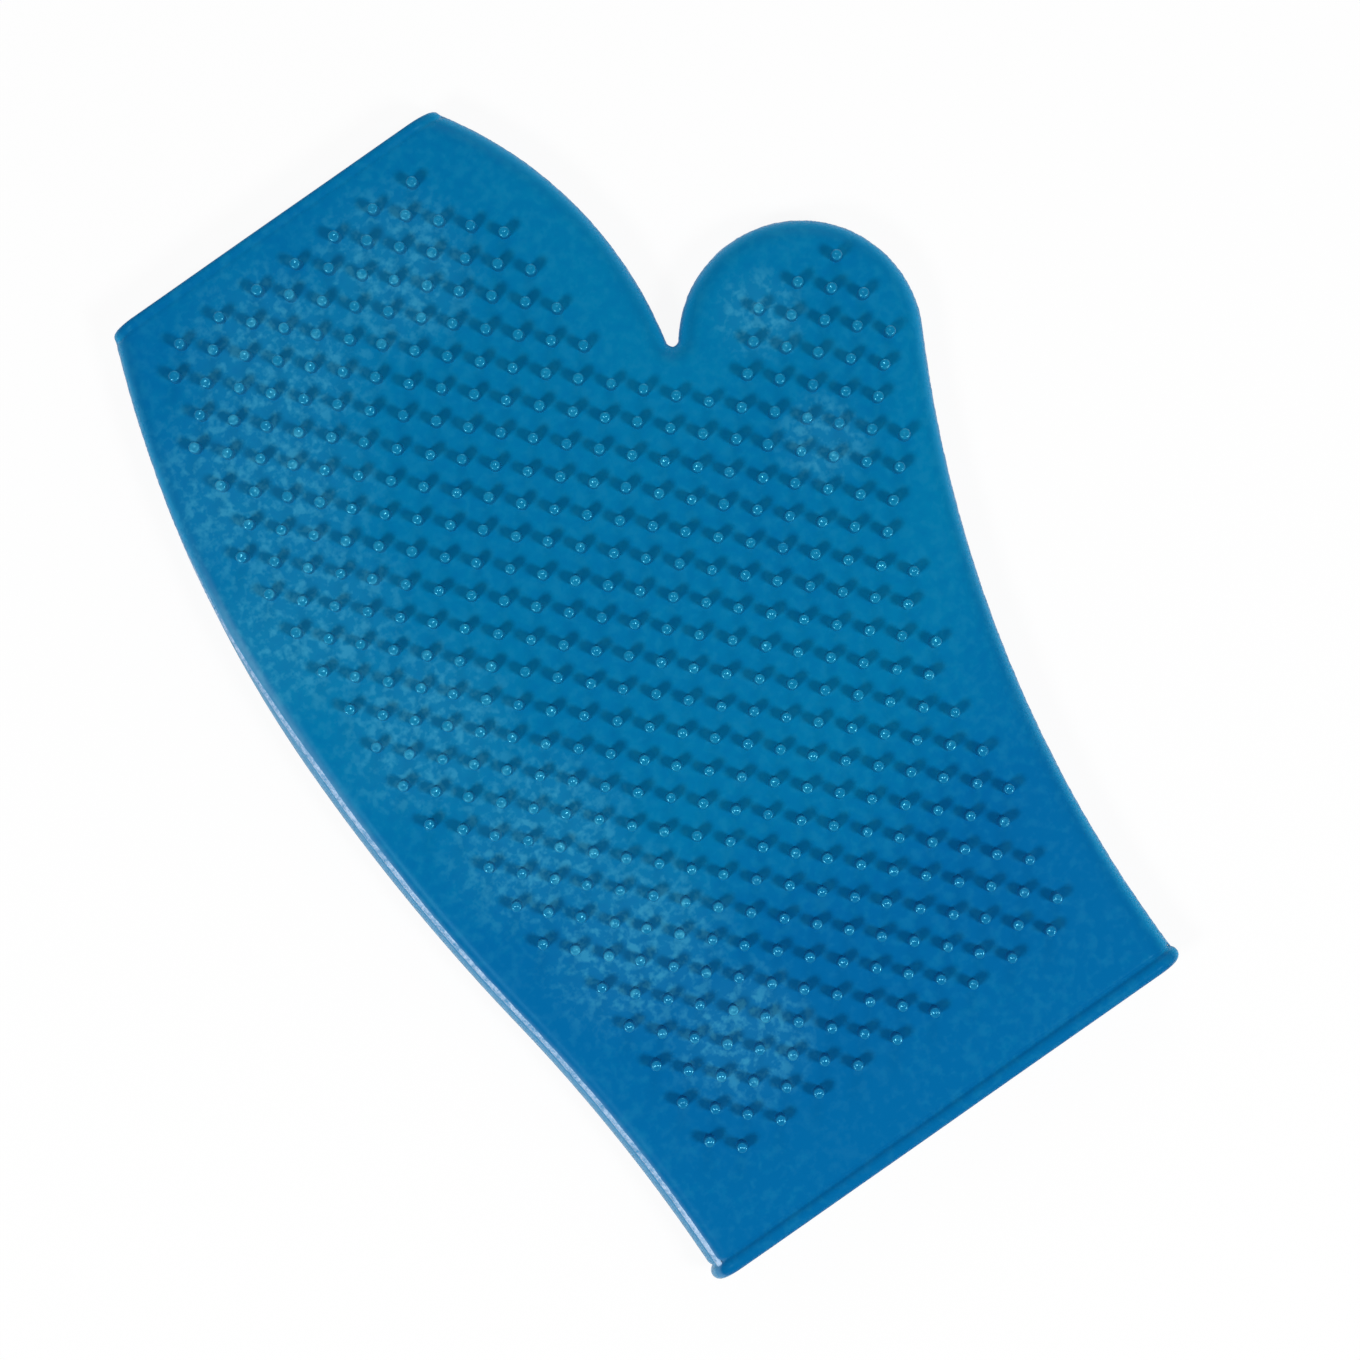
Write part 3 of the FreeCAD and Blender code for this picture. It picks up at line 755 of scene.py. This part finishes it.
def flash_rubber():
    trimmed = Shader(bpy.data.materials.new("trimmed_rubber"), "Principled BSDF")
    place = trimmed.moulded_place()
    torn = trimmed.speckle(place, *TORN)
    worn = trimmed.speckle(place, *WORN)
    share = torn.swing(TORN_STREAKS) + worn.swing(WORN_STREAKS) + LEAST_PALE
    # Painted highlight: the flash is painted paler where it has rolled onto the palm
    share = share + trimmed.part(place, "Z").rise(*PALE_HEIGHTS) * PALE_AND_HIGHLIGHT_ON_PALM
    surface = {
        "Base Color": trimmed.blend(share.clamped(), FLASH_BLUE, FLASH_PALE_AND_HIGHLIGHT),
        "Roughness": FLASH_SMOOTHEST + torn * FLASH_ROUGHER,
        "Normal": trimmed.bump(torn, TORN_STRENGTH, TORN_DISTANCE),
        "Specular IOR Level": FLASH_SPECULAR,
    }
    trimmed.connect(trimmed.main, surface)
    return trimmed.owner


TRIMMED = flash_rubber()
for name, (fold, stretches) in SKIN_STRETCHES.items():
    shape = Skin()
    for entry in SKINS[name]:
        if entry[0] != STRAIGHT:
            shape.add(*strips(flash_rows(*entry)[::-1], True))
    flash = mesh_piece(name.replace("skin", "flash"), shape.corners, shape.faces, TRIMMED)
    carry(flash, fold)
    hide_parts(*(f"{stretch}_flash_line" for stretch in stretches))


# The palm nubs. Each is a soft rubber finger 4 mm high, moulded in one with the wall: flared at its
# root, slightly tapered, with a round edge and a shallow dish in its tip, which the mould polished.
# No two stand quite alike.

# Radius and height of each ring, from the root in the wall to the middle of the tip
NUB_PROFILE = [
    (1.36, -0.12), (1.22, 0.03), (1.17, 0.20), (1.15, 0.60), (1.14, 2.00), (1.13, 3.30),
    (1.12, 3.60), (1.08, 3.75), (1.00, 3.87), (0.90, 3.94), (0.78, 3.985), (0.62, 4.00),
    (0.44, 3.97), (0.28, 3.92), (0.12, 3.87),
]
NUB_HEIGHT = 4.0
NUB_SEGMENTS = 16
NUB_LEAN = 0.25
NUB_SPECULAR, NUB_ROUGHNESS = 0.75, 0.55
NUB_RUBBER = mitt_rubber("nub_rubber", NUB_SPECULAR, NUB_ROUGHNESS)
PALM_FACE = MIDDLE + HALF_THICKNESS
STRETCHES = ("cuff", "wrist_band", "hand", "knuckle_band", "fingers", "thumb_band", "thumb")
# The corners of one flat tip lie this near to each other, and this near to the tip's height
TIP_REACH, TIP_WITHIN = 2.5, 0.02
# How studs differ in size, how their lean grows with height, and how deep the tip's middle lies
SIZE_SPREAD = 0.02
LEAN_CURVE = 1.5
TIP_DIP = 0.02
chance = np.random.default_rng(11)


def stud_places(node, tip):
    """Middles of the studs in a CAD node, from the corners of their flat tips."""
    corners = np.array([corner.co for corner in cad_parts[node].data.vertices]) / MM
    left = corners[np.abs(corners[:, 2] - tip) < TIP_WITHIN][:, :2]
    places = []
    while len(left):
        near = np.abs(left - left[0]).max(axis=1) < TIP_REACH
        places.append((left[near].min(axis=0) + left[near].max(axis=0)) / 2)
        left = left[~near]
    return places


def stud(profile, segments, lean):
    """Corners and faces of one stud at the origin, standing on Z = 0."""
    height = profile[-1][1]
    wide, tall = chance.normal(1.0, SIZE_SPREAD, 2)
    way = chance.uniform(0, 2 * math.pi)
    tilt = lean * chance.uniform(0, 1)
    corners = []
    for radius, z in profile:
        up = max(0.0, z) / height
        aside = tilt * up**LEAN_CURVE
        slope = LEAN_CURVE * tilt / height * up ** (LEAN_CURVE - 1)
        for segment in range(segments):
            turn = 2 * math.pi * segment / segments
            x = wide * radius * math.cos(turn) + aside * math.cos(way)
            y = wide * radius * math.sin(turn) + aside * math.sin(way)
            corners.append((x, y, tall * z - slope * radius * math.cos(turn - way)))
    corners.append((tilt * math.cos(way), tilt * math.sin(way), tall * (height - TIP_DIP)))
    faces = []
    for ring in range(len(profile) - 1):
        for segment in range(segments):
            a = ring * segments + segment
            b = ring * segments + (segment + 1) % segments
            faces.append((a, b, b + segments, a + segments))
    last = (len(profile) - 1) * segments
    for segment in range(segments):
        faces.append((last + segment, last + (segment + 1) % segments, len(corners) - 1))
    return corners, faces


for stretch in STRETCHES:
    shape = Skin()
    for x, y in stud_places(f"{stretch}_palm_nubs", PALM_FACE + NUB_HEIGHT):
        corners, faces = stud(NUB_PROFILE, NUB_SEGMENTS, NUB_LEAN)
        base = PALM_FACE + unevenness(x, y)
        shape.add([(x + dx, y + dy, base + dz) for dx, dy, dz in corners], faces)
    nubs = mesh_piece(f"{stretch}_palm_nubs_moulded", shape.corners, shape.faces, NUB_RUBBER)
    carry(nubs, stretch)
    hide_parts(f"{stretch}_palm_nubs")


# The back pimples. The other side of the mitt, for an animal's face and legs, has the pattern as
# short blunt pimples, moulded in one with the back wall. The mitt lies on them.

PIMPLE_PROFILE = [
    (1.90, -0.10), (1.62, 0.01), (1.38, 0.09), (1.20, 0.26), (1.10, 0.50), (1.00, 0.80),
    (0.86, 1.02), (0.64, 1.16), (0.36, 1.20),
]
PIMPLE_SEGMENTS = 14

for stretch in STRETCHES:
    nodes = [f"{stretch}_back_pimples"]
    if f"{stretch}_rest_pimples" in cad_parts:
        nodes.append(f"{stretch}_rest_pimples")
    shape = Skin()
    for x, y in [place for node in nodes for place in stud_places(node, 0.0)]:
        corners, faces = stud(PIMPLE_PROFILE, PIMPLE_SEGMENTS, 0.0)
        turned = [(x + dx, y - dy, max(0.0, BACK_FACE - dz)) for dx, dy, dz in corners]
        shape.add(turned, faces)
    pimples = mesh_piece(f"{stretch}_pimples_moulded", shape.corners, shape.faces, RUBBER)
    carry(pimples, stretch)
    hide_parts(*nodes)


# The table and the light. A white sheet under the mitt, which keeps only its faint shadow. Two soft
# lamps, to the left and right in the picture, give each nub its two crossed shadows, and a broad
# weak one fills in from the top of the picture.

FLOOR_REACH = 3.0
FLOOR_DROP = 0.05
SHEET_WHITE, SHEET_ROUGHNESS = rgba(0.90, 0.90, 0.90), 0.9
# The share of the sheet that the camera sees as plain white; the rest keeps the shadow
SHEET_GLOW = 0.92
WHITE = rgba(1, 1, 1)
ZENITH_LIGHT, HORIZON_LIGHT = 0.06, 0.55
# The picture's right and top as directions on the table, and the spot at its middle
TURNED = math.radians(35)
PICTURE_RIGHT = Vector((math.cos(TURNED), -math.sin(TURNED), 0))
PICTURE_UP = Vector((math.sin(TURNED), math.cos(TURNED), 0))
AIM = Vector((-6.05 * MM, -9.56 * MM, 0))

# Each lamp: where it stands, right and up in the picture, its degrees above the table, its width and
# distance in metres and its power in watts
LAMPS = {
    "left_lamp": ((-0.77, -0.64), 53.0, 0.28, 1.10, 5.6),
    "right_lamp": ((0.90, -0.43), 53.0, 0.28, 1.10, 5.6),
    "far_fill": ((0.10, 1.00), 24.0, 0.70, 1.10, 2.6),
}


def white_sheet():
    sheet = Shader(bpy.data.materials.new("white_sheet"), "Principled BSDF")
    sheet.connect(sheet.main, {"Base Color": SHEET_WHITE, "Roughness": SHEET_ROUGHNESS})
    lit = Value(sheet, sheet.main.outputs["BSDF"])
    glow = sheet.node("ShaderNodeEmission", None, {"Color": WHITE, "Strength": 1.0})
    seen = sheet.node("ShaderNodeLightPath", output="Is Camera Ray")
    mixed = sheet.node("ShaderNodeMixShader", None, {0: seen * SHEET_GLOW, 1: lit, 2: glow})
    sheet.connect(sheet.tree.nodes["Material Output"], {"Surface": mixed})
    return sheet.owner


corners = [(x, y, -FLOOR_DROP * MM) for x, y in ((-1, -1), (1, -1), (1, 1), (-1, 1))]
table = bpy.data.meshes.new("table")
table.from_pydata([(FLOOR_REACH * x, FLOOR_REACH * y, z) for x, y, z in corners], [], [(0, 1, 2, 3)])
table.materials.append(white_sheet())
table = bpy.data.objects.new("table", table)
bpy.context.scene.collection.objects.link(table)

for name, ((right, up), degrees, width, distance, power) in LAMPS.items():
    lamp = bpy.data.lights.new(name, "AREA")
    lamp.shape = "DISK"
    lamp.size = width
    lamp.energy = power
    raised = math.radians(degrees)
    away = (PICTURE_RIGHT * right + PICTURE_UP * up).normalized() * math.cos(raised)
    away += Vector((0, 0, math.sin(raised)))
    stand = bpy.data.objects.new(name, lamp)
    stand.location = AIM + away * distance
    stand.rotation_euler = away.to_track_quat("Z", "Y").to_euler()
    bpy.context.scene.collection.objects.link(stand)

sky = Shader(bpy.data.worlds.new("studio"), "Background")
direction = sky.node("ShaderNodeTexCoord", output="Generated")
shades = {"Value": sky.part(direction, "Z"), "To Min": HORIZON_LIGHT, "To Max": ZENITH_LIGHT}
shade = sky.node("ShaderNodeMapRange", None, shades)
seen = sky.node("ShaderNodeLightPath", output="Is Camera Ray")
strength = sky.node("ShaderNodeMapRange", None, {"Value": seen, "To Min": shade})
sky.connect(sky.main, {"Color": WHITE, "Strength": strength})
bpy.context.scene.world = sky.owner


# The camera. It hangs over the middle of the mitt and looks straight down, turned so that the cuff
# lies at the lower right and the fingers at the upper left.

CAMERA_HEIGHT = 0.65
CAMERA_LENS, CAMERA_SENSOR = 82.9, 36.0

view = bpy.data.cameras.new("camera")
view.lens = CAMERA_LENS
view.sensor_width = CAMERA_SENSOR
view.clip_start, view.clip_end = 0.05, 20.0
camera = bpy.data.objects.new("camera", view)
camera.location = AIM + Vector((0, 0, CAMERA_HEIGHT))
camera.rotation_euler = (0, 0, -TURNED)
bpy.context.scene.collection.objects.link(camera)
bpy.context.scene.camera = camera
bpy.context.scene.view_settings.view_transform = "Standard"
